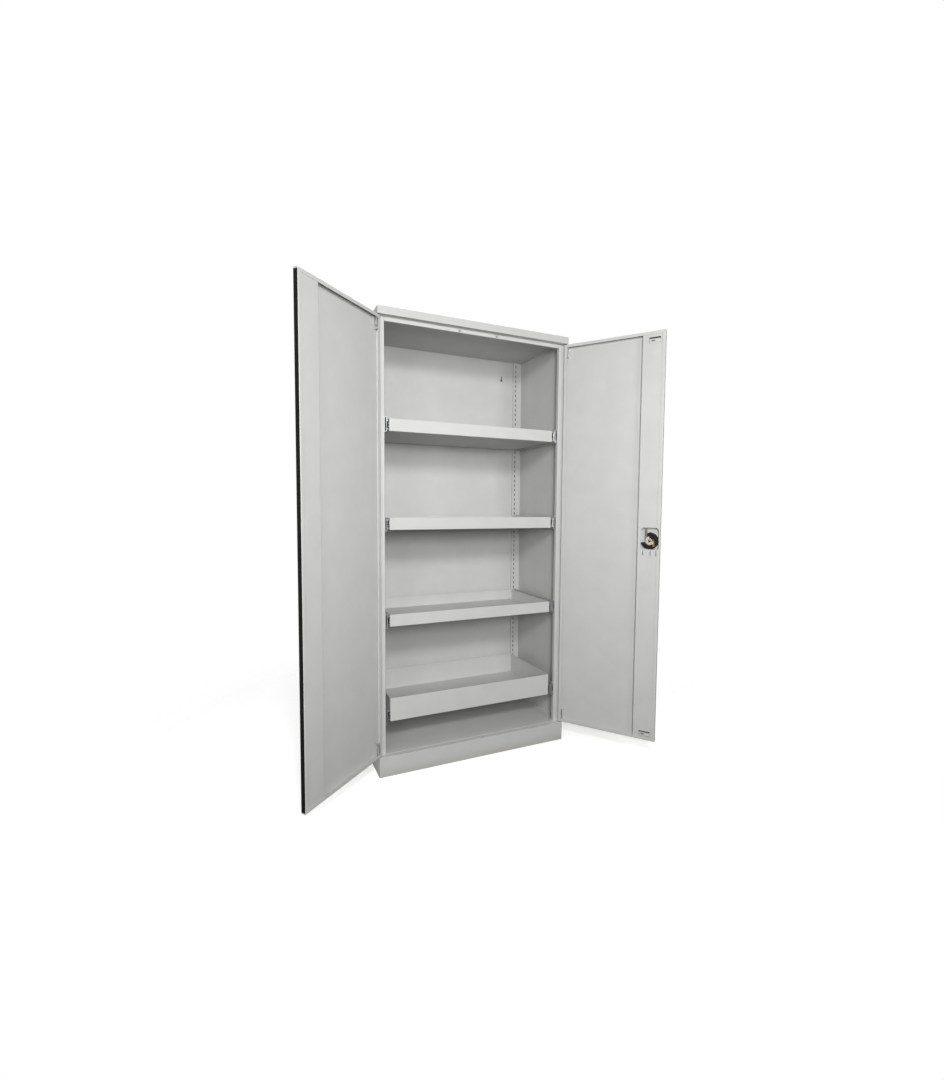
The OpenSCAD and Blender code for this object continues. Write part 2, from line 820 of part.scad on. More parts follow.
// Square bar on the lock's axis
module spindle_bar(v0, v1, w) {
    translate([lock_u, 0, lock_z]) along_y(v0, v1) square(w, center = true);
}

module lock_pinion() {
    color(brass) on_right_door() difference() {
        union() {
            translate([lock_u, 0, lock_z]) along_y(rod_v, rod_v + rod_t) pinion_outline();
            translate([lock_u, 0, lock_z]) along_y(cam_v[0], cam_v[1]) cam_outline();
            rod_y(hub_r, lock_u, lock_z, rod_v - hub_boss, cover_v);
        }
        spindle_bar(0, cover_v + past, spindle_w + 2 * snug_fit);
    }
}

module handle_spindle() {
    color(steel) on_right_door() spindle_bar(grip_near - spindle_bite, cover_v - spindle_short, spindle_w);
}

// Rack of a rod, with the pinion's axis at the origin and the rod on its left
module rack_outline() {
    pitch = PI * gear_m;
    slope = tan(pressure_angle);
    half = (pitch - gear_lash) / 4;
    teeth_low = -ceil(rack_down / pitch);
    teeth_high = floor(rack_up / pitch);
    tip_half = half - tooth_add * slope;
    root_half = half + tooth_ded * slope;
    tip = tooth_add - pitch_r;
    root = -rack_root;
    teeth = [for (i = [teeth_low:teeth_high - 1]) let (z = (i + 0.5) * pitch) each [
        [root, z - root_half], [tip, z - tip_half], [tip, z + tip_half], [root, z + root_half]]];
    low = teeth_low * pitch - rack_tail;
    high = teeth_high * pitch + rack_tail;
    polygon(concat([[root - rod_w, low], [root, low]], teeth, [[root, high], [root - rod_w, high]]));
}

// Rod between two heights, joined to its rack
module bolt_rod(u, z0, z1, turn) {
    translate([lock_u, 0, lock_z]) along_y(rod_v, rod_v + rod_t) rotate(turn) rack_outline();
    block([u - rod_w / 2, rod_v, z0], [u + rod_w / 2, rod_v + rod_t, z1]);
}

module upper_rod() {
    color(steel) on_right_door() union()
        bolt_rod(upper_rod_u, lock_z + rack_up - rack_join, door_z1 - rod_setback, 0);
}

module lower_rod() {
    color(steel) on_right_door() union()
        bolt_rod(lower_rod_u, door_z0 + rod_setback, lock_z - rack_up + rack_join, 180);
}

module handle_rosette() {
    color(black) on_right_door() translate([lock_u, 0, lock_z]) rotate([90, 0, 0]) rotate_extrude()
        polygon([[spindle_hole_r, 0], [rosette_r, 0], [rosette_r, rosette_t - rosette_bevel],
                 [rosette_r - rosette_bevel, rosette_t], [spindle_hole_r, rosette_t]]);
}

// Oblong grip: the half-width swells from the ends to the hub
module grip_outline() {
    half_len = grip_len / 2;
    end_w = 10;
    hub_w = 19;
    function width(s) = (end_w + (hub_w - end_w) * pow(cos(90 * s), 2)) * sqrt(1 - pow(abs(s), 6));
    spread = [for (k = [-16:16]) sin(90 * k / 16)];
    polygon(concat([for (s = spread) [s * half_len, width(s)]],
                   [for (k = [len(spread) - 2:-1:1]) [spread[k] * half_len, -width(spread[k])]]));
}

module handle_grip() {
    dome_r = 150;
    color(black) on_right_door() difference() {
        intersection() {
            translate([lock_u, 0, lock_z]) along_y(grip_far, grip_near) rotate(90) grip_outline();
            translate([lock_u, grip_far + dome_r, lock_z]) sphere(r = dome_r, $fn = 96);
        }
        rod_y(plug_r + snug_fit, lock_u, lock_z, grip_far - past, grip_far + plug_depth);
        spindle_bar(grip_near - spindle_bite - loose_fit, grip_near + past, spindle_w + 2 * snug_fit);
    }
}

module key_plug() {
    color(steel) on_right_door() difference() {
        rod_y(plug_r, lock_u, lock_z, grip_far - plug_proud, grip_far + plug_depth - loose_fit);
        translate([lock_u, grip_far, lock_z])
            block([-keyway[0] / 2, -past, -keyway[1] / 2], [keyway[0] / 2, keyway[2], keyway[1] / 2]);
    }
}

// Trays and runners

module tray_pan(i) {
    low = [-tray_w / 2, tray_front_y];
    high = [tray_w / 2, tray_rear_y];
    z = tray_z(i);
    top = z + tray_rise(i);
    wall = [sheet_t, sheet_t];
    hem = 2 * wall;
    bend = [fold_r, fold_r, 0, 0];
    color(grey) difference() {
        intersection() {
            translate([0, 0, z]) linear_extrude(top - z) polygon(rounded(low, high, all_round(tray_r)));
            along_x(low[0] - past, high[0] + past) polygon(rounded([low[1], z], [high[1], top], bend));
            along_y(low[1] - past, high[1] + past) polygon(rounded([low[0], z], [high[0], top], bend));
        }
        translate([0, 0, z + sheet_t]) linear_extrude(top - z - sheet_t - hem_h)
            polygon(rounded(low + wall, high - wall, all_round(tray_r - sheet_t)));
        translate([0, 0, top - hem_h - past]) linear_extrude(hem_h + 2 * past)
            polygon(rounded(low + hem, high - hem, all_round(tray_r - 2 * sheet_t)));
    }
}

// Part of a ring between two angles: a ball's track in section
module track(u, v, a0, a1) {
    reach = 2 * track_out;
    steps = 4;
    translate([u, v]) intersection() {
        difference() {
            circle(r = track_out);
            circle(r = track_r);
        }
        polygon(concat([[0, 0]], [for (k = [0:steps])
            let (a = a0 + (a1 - a0) * k / steps) reach * [cos(a), sin(a)]]));
    }
}

// Upper and lower half of a runner's section
module mirrored_section() {
    children();
    mirror([0, 1]) children();
}

module outer_section() {
    translate([0, -outer_row]) square([slide_wall, 2 * outer_row]);
    mirrored_section() track(outer_u, outer_row, outer_track[0], outer_track[1]);
}

module mid_section() {
    shelf = outer_row - track_out;
    arch = inner_row + track_out - slide_wall;
    translate([mid_web_u, -shelf - slide_wall / 2]) square([slide_wall, 2 * shelf + slide_wall]);
    mirrored_section() {
        track(outer_u, outer_row, tuck_angle, mid_toe_angle);
        translate([mid_web_u, arch]) square([inner_u - mid_web_u, slide_wall]);
        track(inner_u, inner_row, mid_track[0], mid_track[1]);
    }
}

module inner_section() {
    shelf = inner_row - track_out;
    translate([slide_t - slide_wall, -shelf - slide_wall]) square([slide_wall, 2 * (shelf + slide_wall)]);
    mirrored_section() {
        track(inner_u, inner_row, tuck_angle, inner_toe_angle);
        translate([inner_u, shelf]) square([slide_t - inner_u, slide_wall]);
    }
}

// A runner member on both sides of the cabinet
module runner_pair(i) {
    both_sides() translate([carrier_x, 0, runner_z(i)]) mirror([1, 0, 0]) children();
}

// Length of a runner member that moves
module member() {
    along_y(slide_front_y, slide_rear_y) children();
}

// Fixed member: it runs on past the others to a folded stop
module outer_member() {
    stop_y = slide_rear_y + stop_gap;
    half = inner_row - track_out;
    along_y(slide_front_y, stop_y + slide_wall) outer_section();
    block([0, stop_y, -half], [stop_reach, stop_y + slide_wall, half]);
}

// Ball cage: a strip that joins the balls of the upper and lower row
module cage_pair(i, strip_u, u, row) {
    first_y = slide_front_y + (slide_len - cage_len) / 2;
    both_sides() translate([carrier_x, 0, runner_z(i)]) mirror([1, 0, 0]) union() {
        block([strip_u, first_y, -row], [strip_u + strip_t, first_y + cage_len, row]);
        for (k = [0:ball_count - 1], s = [-1, 1]) {
            y = first_y + (k + 0.5) * cage_len / ball_count;
            translate([u, y, s * row]) sphere(r = ball_r, $fn = ball_steps);
        }
    }
}

module outer_slides(i) { color(zinc) runner_pair(i) union() outer_member(); }
module mid_slides(i) { color(zinc) runner_pair(i) member() mid_section(); }
module inner_slides(i) { color(zinc) runner_pair(i) member() inner_section(); }
module outer_cages(i) { color(steel) cage_pair(i, outer_strip_u, outer_u, outer_row); }
module inner_cages(i) { color(steel) cage_pair(i, inner_strip_u, inner_u, inner_row); }

left_side_panel();
right_side_panel();
back_panel();
top_panel();
ceiling_panel();
front_fascia();
top_rail();
floor_panel();
plinth();
rear_uprights();
runner_carriers();
carrier_rivets();
hinge_bushes();
hinge_washers();
door_buffers();
rod_keepers();
left_door_skin();
left_door_stile();
left_hinge_brackets();
left_hinge_pins();
left_door_seal();
right_door_skin();
right_door_stile();
right_hinge_brackets();
right_hinge_pins();
lock_case();
lock_cover();
rod_guides();
handle_rosette();
lock_pinion();
handle_spindle();
handle_grip();
key_plug();
upper_rod();
lower_rod();
for (i = [1:4]) {
    tray_pan(i);
    inner_slides(i);
    mid_slides(i);
    outer_slides(i);
    inner_cages(i);
    outer_cages(i);
}
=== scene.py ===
"""Looks of a light grey steel safety cabinet: its finishes, small hardware, studio and camera."""

import json
import logging
import math
from dataclasses import dataclass, field
from enum import Enum
from typing import Any, Iterable, Optional, Sequence, Union

import bpy
import numpy as np
from mathutils import Matrix, Vector


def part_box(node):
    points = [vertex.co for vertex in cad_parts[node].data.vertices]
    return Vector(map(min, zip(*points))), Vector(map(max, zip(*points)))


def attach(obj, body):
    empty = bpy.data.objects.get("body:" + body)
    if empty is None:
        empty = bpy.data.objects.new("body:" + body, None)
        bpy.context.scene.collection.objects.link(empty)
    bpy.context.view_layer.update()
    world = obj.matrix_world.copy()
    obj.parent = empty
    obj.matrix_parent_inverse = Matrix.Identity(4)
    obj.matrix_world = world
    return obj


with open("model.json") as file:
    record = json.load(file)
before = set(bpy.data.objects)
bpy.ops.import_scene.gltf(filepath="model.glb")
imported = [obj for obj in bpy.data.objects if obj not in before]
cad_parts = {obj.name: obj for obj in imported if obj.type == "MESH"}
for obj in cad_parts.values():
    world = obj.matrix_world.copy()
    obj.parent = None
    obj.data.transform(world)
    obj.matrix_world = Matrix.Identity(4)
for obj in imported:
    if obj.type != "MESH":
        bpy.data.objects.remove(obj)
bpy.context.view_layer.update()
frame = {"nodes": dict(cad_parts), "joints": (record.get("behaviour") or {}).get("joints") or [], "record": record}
LOG = logging.getLogger("safety_cabinet")
UP = (0.0, 0.0, 1.0)
TRAYS = (1, 2, 3, 4)
MERGE_STEP = 1e-7

# Face and sheet of an upright, and how far the painted shade of its hollow reaches into the rear wall, in metres.
UPRIGHT_W = 0.0280
UPRIGHT_T = 0.0015
HOLLOW_SHADE_REACH = 0.0005

Triple = tuple[float, float, float]
Value = Union[float, Sequence[float], "Port"]
WHITE: Triple = (1.0, 1.0, 1.0)


class Slot(Enum):
    """Material slots of the record."""

    LIGHT_GREY = "light_grey_paint"
    ZINC = "zinc"
    STEEL = "steel"
    BLACK_PAINT = "black_paint"
    BLACK_PLASTIC = "black_plastic"
    BRASS = "brass"
    RUBBER = "rubber"
    PALE_RUBBER = "pale_rubber"


class Side(Enum):
    """The two sides of the cabinet, by the sign of X."""

    LEFT = -1
    RIGHT = 1


class Drive(Enum):
    """What is cut into the top of a fastener's head."""

    CROSS = "cross"
    MANDREL = "mandrel"


class Port:
    """One output of a node. Sums of ports and numbers add the nodes that work them out."""

    def __init__(self, graph: "Graph", socket: bpy.types.NodeSocket) -> None:
        """Keeps the output and the graph that it belongs to."""
        self.graph = graph
        self.socket = socket

    def is_vector(self) -> bool:
        """Whether the output carries a vector."""
        return self.socket.type == "VECTOR"

    def combine(self, operation: str, first: Value, second: Value) -> "Port":
        """Adds the node of one sum, on vectors if either side is one.

        Args:
            operation: The node's name for the operation.
            first: Left side of the sum.
            second: Right side of the sum.

        Returns:
            The sum's result.
        """
        sides = [first, second]
        kind = "ShaderNodeMath"
        if any(isinstance(side, Port) and side.is_vector() for side in sides):
            kind = "ShaderNodeVectorMath"
            sides = [(side,) * 3 if isinstance(side, (int, float)) else side for side in sides]
        return self.graph.node(kind, {"operation": operation}, dict(enumerate(sides)))

    def __add__(self, other: Value) -> "Port":
        """self + other."""
        return self.combine("ADD", self, other)

    def __radd__(self, other: Value) -> "Port":
        """other + self."""
        return self.combine("ADD", other, self)

    def __sub__(self, other: Value) -> "Port":
        """self - other."""
        return self.combine("SUBTRACT", self, other)

    def __rsub__(self, other: Value) -> "Port":
        """other - self."""
        return self.combine("SUBTRACT", other, self)

    def __mul__(self, other: Value) -> "Port":
        """self * other."""
        return self.combine("MULTIPLY", self, other)

    def __rmul__(self, other: Value) -> "Port":
        """other * self."""
        return self.combine("MULTIPLY", other, self)

    def __truediv__(self, other: Value) -> "Port":
        """self / other."""
        return self.combine("DIVIDE", self, other)

    def __rtruediv__(self, other: Value) -> "Port":
        """other / self."""
        return self.combine("DIVIDE", other, self)


class Graph:
    """Node tree of one material or of the world, emptied for new nodes."""

    def __init__(self, tree: bpy.types.NodeTree) -> None:
        """Empties the tree and keeps it."""
        tree.nodes.clear()
        self.tree = tree

    def node(self, kind: str, settings: Optional[dict[str, Any]] = None,
             inputs: Optional[dict[Union[int, str], Value]] = None, output: Union[int, str] = 0) -> Port:
        """Adds any node.

        Args:
            kind: The node's type.
            settings: Its settings, set before its inputs.
            inputs: Values or links of its input sockets, by name or number.
            output: The output socket that is wanted.

        Returns:
            That output.
        """
        made = self.tree.nodes.new(kind)
        for name, setting in (settings or {}).items():
            setattr(made, name, setting)
        for name, value in (inputs or {}).items():
            if isinstance(value, Port):
                self.tree.links.new(value.socket, made.inputs[name])
            else:
                made.inputs[name].default_value = value
        return Port(self, made.outputs[output])

    def close(self, kind: str, shader: Port) -> None:
        """Adds the tree's output node of a type and links the shader to it."""
        made = self.tree.nodes.new(kind)
        self.tree.links.new(shader.socket, made.inputs["Surface"])

    def place(self) -> Port:
        """Where a point of the object is, in metres of the shared frame."""
        return self.node("ShaderNodeTexCoord", output="Object")

    def part(self, vector: Port, axis: str) -> Port:
        """One coordinate of a vector, by its letter."""
        return self.node("ShaderNodeSeparateXYZ", inputs={0: vector}, output=axis)

    def dot(self, first: Value, second: Value) -> Port:
        """Dot product of two vectors."""
        return self.node("ShaderNodeVectorMath", {"operation": "DOT_PRODUCT"}, {0: first, 1: second}, "Value")

    def length(self, vector: Port) -> Port:
        """Length of a vector."""
        return self.node("ShaderNodeVectorMath", {"operation": "LENGTH"}, {0: vector}, "Value")

    def noise(self, at: Port, size: float, detail: float = 2.0, rough: float = 0.5,
              twist: float = 0.0) -> Port:
        """Cloudy values about 0.5.

        Args:
            at: Where to read them.
            size: Width of the clouds, in the units of at.
            detail: Octaves.
            rough: Share of each finer octave.
            twist: Distortion.

        Returns:
            The value.
        """
        sockets = {"Vector": at, "Scale": 1 / size, "Detail": detail, "Roughness": rough, "Distortion": twist}
        return self.node("ShaderNodeTexNoise", inputs=sockets)

    def cells(self, at: Port, size: float) -> Port:
        """A grey of its own for each crystal of a given width."""
        tint = self.node("ShaderNodeTexVoronoi", inputs={"Vector": at, "Scale": 1 / size}, output="Color")
        return self.node("ShaderNodeRGBToBW", inputs={0: tint})

    def ease(self, value: Port, low: float, high: float) -> Port:
        """Smooth step from 0 at low to 1 at high."""
        sockets = {"Value": value, "From Min": low, "From Max": high}
        return self.node("ShaderNodeMapRange", {"interpolation_type": "SMOOTHSTEP"}, sockets)

    def blend(self, share: Value, first: Value, second: Value) -> Port:
        """Mixes two colours.

        Args:
            share: Share of the second colour.
            first: Colour at share 0.
            second: Colour at share 1.

        Returns:
            The mixed colour.
        """
        colours = [value if isinstance(value, Port) else (*value, 1.0) for value in (first, second)]
        sockets = {0: share, 6: colours[0], 7: colours[1]}
        return self.node("ShaderNodeMix", {"data_type": "RGBA"}, sockets, 2)

    def relief(self, height: Port, depth: float, normal: Optional[Port] = None) -> Port:
        """Raises a surface by height times depth.

        Args:
            height: Height, from 0 to 1.
            depth: Depth of the relief, in metres.
            normal: Normal that the relief lies on.

        Returns:
            The normal of the raised surface.
        """
        sockets: dict[Union[int, str], Value] = {"Strength": 1.0, "Distance": depth, "Height": height}
        if normal is not None:
            sockets["Normal"] = normal
        return self.node("ShaderNodeBump", inputs=sockets)

    def rounding(self, radius: float) -> tuple[Port, Port]:
        """Softens sharp edges.

        Args:
            radius: Radius of the softened edge, in metres.

        Returns:
            The softened normal, and a mask that is 1 on the edges.
        """
        soft = self.node("ShaderNodeBevel", {"samples": 4}, {"Radius": radius})
        true = self.node("ShaderNodeNewGeometry", output="Normal")
        return soft, self.ease(1 - self.dot(soft, true), 0.01, 0.2)

    def skin(self, sockets: dict[Union[int, str], Value]) -> Port:
        """Principled shader with these sockets."""
        return self.node("ShaderNodeBsdfPrincipled", inputs=sockets)


@dataclass(frozen=True)
class Finish:
    """A finish: each kind draws its own nodes."""

    name: str

    def draw(self, graph: Graph) -> Port:
        """Draws the nodes and returns the shader."""
        raise NotImplementedError

    def material(self) -> bpy.types.Material:
        """Makes the finish's material when it is first asked for.

        Returns:
            The material.
        """
        made = bpy.data.materials.get(self.name)
        if made is None:
            made = bpy.data.materials.new(self.name)
            made.use_nodes = True
            graph = Graph(made.node_tree)
            graph.close("ShaderNodeOutputMaterial", self.draw(graph))
        return made


@dataclass(frozen=True)
class PowderCoat(Finish):
    """Satin powder coat on sheet steel: orange peel, slight waves of the sheet, handling and floor dust.

    The hollow of an upright, given by the lowest and highest corner of the right one, is painted near-black:
    painted shade that makes the slots of the uprights look dark.
    """

    hollow: tuple[Triple, Triple]
    # Near-black painted shade for the hollows of the uprights.
    hollow_shade: Triple = (0.030, 0.030, 0.031)
    dark: Triple = (0.490, 0.493, 0.481)
    pale: Triple = (0.570, 0.573, 0.560)
    rim: Triple = (0.640, 0.642, 0.630)
    dust: Triple = (0.330, 0.310, 0.270)
    peel_size: float = 0.0022
    peel_depth: float = 0.000022
    wave_size: float = 0.30
    wave_depth: float = 0.0005
    cloud_size: float = 0.09
    smudge_size: float = 0.05
    dust_rise: float = 0.05
    edge_r: float = 0.0009
    border: float = 0.0004

    def hollow_shade_mask(self, graph: Graph, at: Port) -> Port:
        """Marks the hollow of either upright, where shade is painted near-black.

        Args:
            graph: The material's nodes.
            at: Where a point is.

        Returns:
            A mask that is 1 in the hollow and 0 elsewhere.
        """
        x = graph.node("ShaderNodeMath", {"operation": "ABSOLUTE"}, {0: graph.part(at, "X")})
        spans = zip((x, graph.part(at, "Y"), graph.part(at, "Z")), *self.hollow)
        wide, deep, tall = (
            graph.ease(value - low, 0.0, self.border) * graph.ease(high - value, 0.0, self.border)
            for value, low, high in spans)
        return wide * deep * tall

    def draw(self, graph: Graph) -> Port:
        """Draws the nodes.

        Args:
            graph: The material's nodes.

        Returns:
            The shader.
        """
        at = graph.place()
        cloud = graph.noise(at, self.cloud_size, 4.0, 0.6)
        smudge = graph.ease(graph.noise(at, self.smudge_size, 5.0, 0.62, 0.8), 0.54, 0.74)
        soot = graph.ease(self.dust_rise - graph.part(at, "Z"), 0.0, self.dust_rise)
        soft, rim = graph.rounding(self.edge_r)
        peel = 0.7 * graph.noise(at, self.peel_size) + 0.3 * graph.noise(at, self.peel_size / 4)
        normal = graph.relief(graph.noise(at, self.wave_size, 1.0, 0.4), self.wave_depth, soft)
        normal = graph.relief(peel, self.peel_depth, normal)
        colour = graph.blend(cloud, self.dark, self.pale)
        colour = graph.blend(rim * 0.4, colour, self.rim)
        colour = graph.blend(soot * cloud * 0.7, colour, self.dust)
        # Painted shade: the hollows of the uprights, seen through their slots, are coloured near-black.
        colour = graph.blend(self.hollow_shade_mask(graph, at), colour, self.hollow_shade)
        rough = 0.35 + 0.08 * cloud + 0.06 * smudge + 0.1 * soot
        return graph.skin({"Base Color": colour, "Roughness": rough, "Normal": normal, "IOR": 1.5})


@dataclass(frozen=True)
class ZincPlate(Finish):
    """Bright zinc on rolled sections: lines along the section and a faint crystal pattern."""

    dark: Triple = (0.50, 0.51, 0.52)
    pale: Triple = (0.84, 0.85, 0.86)
    white_rust: Triple = (0.74, 0.74, 0.73)
    line: Triple = (0.0012, 0.06, 0.0012)
    line_depth: float = 0.00003
    crystal: float = 0.006
    patch: float = 0.03
    edge_r: float = 0.0004

    def draw(self, graph: Graph) -> Port:
        """Draws the nodes.

        Args:
            graph: The material's nodes.

        Returns:
            The shader.
        """
        at = graph.place()
        lines = graph.noise(at / self.line, 1.0, 3.0, 0.6)
        crystals = graph.cells(at, self.crystal)
        patches = graph.ease(graph.noise(at, self.patch, 4.0, 0.65), 0.58, 0.78)
        soft, rim = graph.rounding(self.edge_r)
        colour = graph.blend(0.65 * lines + 0.35 * crystals, self.dark, self.pale)
        colour = graph.blend(patches * 0.3, colour, self.white_rust)
        colour = graph.blend(rim * 0.5, colour, self.pale)
        rough = 0.40 + 0.14 * lines + 0.06 * crystals + 0.12 * patches
        normal = graph.relief(lines, self.line_depth, soft)
        return graph.skin({"Base Color": colour, "Metallic": 1.0, "Roughness": rough, "Normal": normal})


@dataclass(frozen=True)
class DrawnSteel(Finish):
    """Plain drawn steel with die lines along its length, oily darker patches and bright edges."""

    dark: Triple = (0.15, 0.135, 0.10)
    pale: Triple = (0.44, 0.41, 0.34)
    line: Triple = (0.0009, 0.0009, 0.05)
    line_depth: float = 0.00002
    patch: float = 0.04
    edge_r: float = 0.0004

    def draw(self, graph: Graph) -> Port:
        """Draws the nodes.

        Args:
            graph: The material's nodes.

        Returns:
            The shader.
        """
        at = graph.place()
        lines = graph.noise(at / self.line, 1.0, 3.0, 0.6)
        oil = graph.ease(graph.noise(at, self.patch, 4.0, 0.6), 0.45, 0.7)
        soft, rim = graph.rounding(self.edge_r)
        colour = graph.blend(lines, self.dark, self.pale)
        colour = graph.blend(oil * 0.35, colour, self.dark)
        colour = graph.blend(rim * 0.6, colour, self.pale)
        rough = 0.26 + 0.16 * lines + 0.08 * oil
        normal = graph.relief(lines, self.line_depth, soft)
        return graph.skin({"Base Color": colour, "Metallic": 1.0, "Roughness": rough, "Normal": normal})


@dataclass(frozen=True)
class BlackLacquer(Finish):
    """Black lacquer on pressed steel: fine peel, dust and rubbed edges that show grey."""

    dark: Triple = (0.012, 0.012, 0.013)
    worn: Triple = (0.07, 0.07, 0.073)
    gloss: float = 0.2
    peel_size: float = 0.0014
    peel_depth: float = 0.00002
    rub: float = 0.012
    edge_r: float = 0.0006

    def draw(self, graph: Graph) -> Port:
        """Draws the nodes.

        Args:
            graph: The material's nodes.

        Returns:
            The shader.
        """
        at = graph.place()
        rub = graph.ease(graph.noise(at, self.rub, 5.0, 0.65), 0.5, 0.75)
        soft, rim = graph.rounding(self.edge_r)
        colour = graph.blend(0.25 * rub + 0.55 * rim * rub, self.dark, self.worn)
        rough = 0.3 + 0.2 * rub
        normal = graph.relief(graph.noise(at, self.peel_size), self.peel_depth, soft)
        return graph.skin({"Base Color": colour, "Roughness": rough, "Normal": normal,
                           "Specular IOR Level": self.gloss})


@dataclass(frozen=True)
class MouldedNylon(Finish):
    """Black moulded nylon: spark-eroded grain, flow clouds and paler rubbed edges."""

    dark: Triple = (0.016, 0.016, 0.018)
    worn: Triple = (0.05, 0.05, 0.053)
    gloss: float = 0.25
    grain: float = 0.0005
    grain_depth: float = 0.00004
    flow: float = 0.02
    edge_r: float = 0.0008

    def draw(self, graph: Graph) -> Port:
        """Draws the nodes.

        Args:
            graph: The material's nodes.

        Returns:
            The shader.
        """
        at = graph.place()
        grain = graph.noise(at, self.grain, 3.0, 0.7)
        flow = graph.noise(at, self.flow, 3.0, 0.5, 1.2)
        soft, rim = graph.rounding(self.edge_r)
        colour = graph.blend(0.2 * flow + 0.3 * rim, self.dark, self.worn)
        rough = 0.46 + 0.14 * grain - 0.08 * rim
        normal = graph.relief(grain, self.grain_depth, soft)
        return graph.skin({"Base Color": colour, "Roughness": rough, "Normal": normal,
                           "Specular IOR Level": self.gloss})


@dataclass(frozen=True)
class MachinedBrass(Finish):
    """Pale dull brass: turned rings about the lock's axis and brown tarnish in patches."""

    centre: Triple
    axis: Triple
    dark: Triple = (0.56, 0.52, 0.38)
    pale: Triple = (0.88, 0.84, 0.71)
    tarnish: Triple = (0.20, 0.17, 0.10)
    ring: float = 0.00035
    ring_depth: float = 0.00002
    patch: float = 0.009
    edge_r: float = 0.0004

    def draw(self, graph: Graph) -> Port:
        """Draws the nodes.

        Args:
            graph: The material's nodes.

        Returns:
            The shader.
        """
        at = graph.place()
        arm = graph.node("ShaderNodeVectorMath", {"operation": "CROSS_PRODUCT"},
                         {0: at - self.centre, 1: self.axis})
        turn = {"W": graph.length(arm) / self.ring, "Scale": 1.0, "Detail": 2.0}
        rings = graph.node("ShaderNodeTexNoise", {"noise_dimensions": "1D"}, turn)
        patch = graph.ease(graph.noise(at, self.patch, 4.0, 0.65), 0.5, 0.75)
        soft, rim = graph.rounding(self.edge_r)
        colour = graph.blend(rings, self.dark, self.pale)
        colour = graph.blend(patch * 0.45, colour, self.tarnish)
        colour = graph.blend(rim * 0.6, colour, self.pale)
        rough = 0.28 + 0.2 * rings + 0.15 * patch
        normal = graph.relief(rings, self.ring_depth, soft)
        return graph.skin({"Base Color": colour, "Metallic": 1.0, "Roughness": rough, "Normal": normal})


@dataclass(frozen=True)
class SoftRubber(Finish):
    """Matt rubber with a pale bloom and a fine open surface."""

    dark: Triple = (0.006, 0.006, 0.006)
    bloom: Triple = (0.030, 0.030, 0.028)
    gloss: float = 0.2
    grain: float = 0.0007
    grain_depth: float = 0.00005
    patch: float = 0.006

    def draw(self, graph: Graph) -> Port:
        """Draws the nodes.

        Args:
            graph: The material's nodes.

        Returns:
            The shader.
        """
        at = graph.place()
        grain = graph.noise(at, self.grain, 3.0, 0.65)
        patch = graph.ease(graph.noise(at, self.patch, 4.0, 0.6), 0.45, 0.75)
        colour = graph.blend(0.45 * patch, self.dark, self.bloom)
        rough = 0.68 + 0.2 * grain
        normal = graph.relief(grain, self.grain_depth)
        return graph.skin({"Base Color": colour, "Roughness": rough, "Normal": normal,
                           "Specular IOR Level": self.gloss})


@dataclass(frozen=True)
class PaleFloor(Finish):
    """Pale matt studio floor, lit from below as well, that fades out to the white background."""

    tone: Triple = (0.86, 0.86, 0.85)
    glow: float = 0.36
    cloud_size: float = 0.5
    solid_r: float = 0.7
    faded_r: float = 1.9

    def draw(self, graph: Graph) -> Port:
        """Draws the nodes.

        Args:
            graph: The material's nodes.

        Returns:
            The shader.
        """
        at = graph.place()
        cloud = graph.noise(at, self.cloud_size, 3.0)
        fade = 1 - graph.ease(graph.length(at), self.solid_r, self.faded_r)
        colour = graph.blend(cloud * 0.06, self.tone, WHITE)
        return graph.skin({"Base Color": colour, "Roughness": 0.75 + 0.1 * cloud, "Alpha": fade,
                           "Emission Color": (*WHITE, 1.0), "Emission Strength": self.glow})


@dataclass(frozen=True)
class Place:
    """A right-handed seat for a piece: a point and three directions, with out away from what carries it."""

    point: np.ndarray
    across: np.ndarray
    up: np.ndarray
    out: np.ndarray

    @staticmethod
    def on(point: Sequence[float], out: Sequence[float], up: Sequence[float] = UP) -> "Place":
        """Seat at a point of a face.

        Args:
            point: The point, in metres of the shared frame.
            out: The face's outward direction.
            up: A direction in the face.

        Returns:
            The seat.
        """
        away = np.asarray(out, float)
        rise = np.asarray(up, float)
        return Place(np.asarray(point, float), np.cross(rise, away), rise, away)

    def put(self, points: np.ndarray) -> np.ndarray:
        """Points given as (across, up, out) from the seat, in the shared frame."""
        return self.point + points @ np.stack([self.across, self.up, self.out])


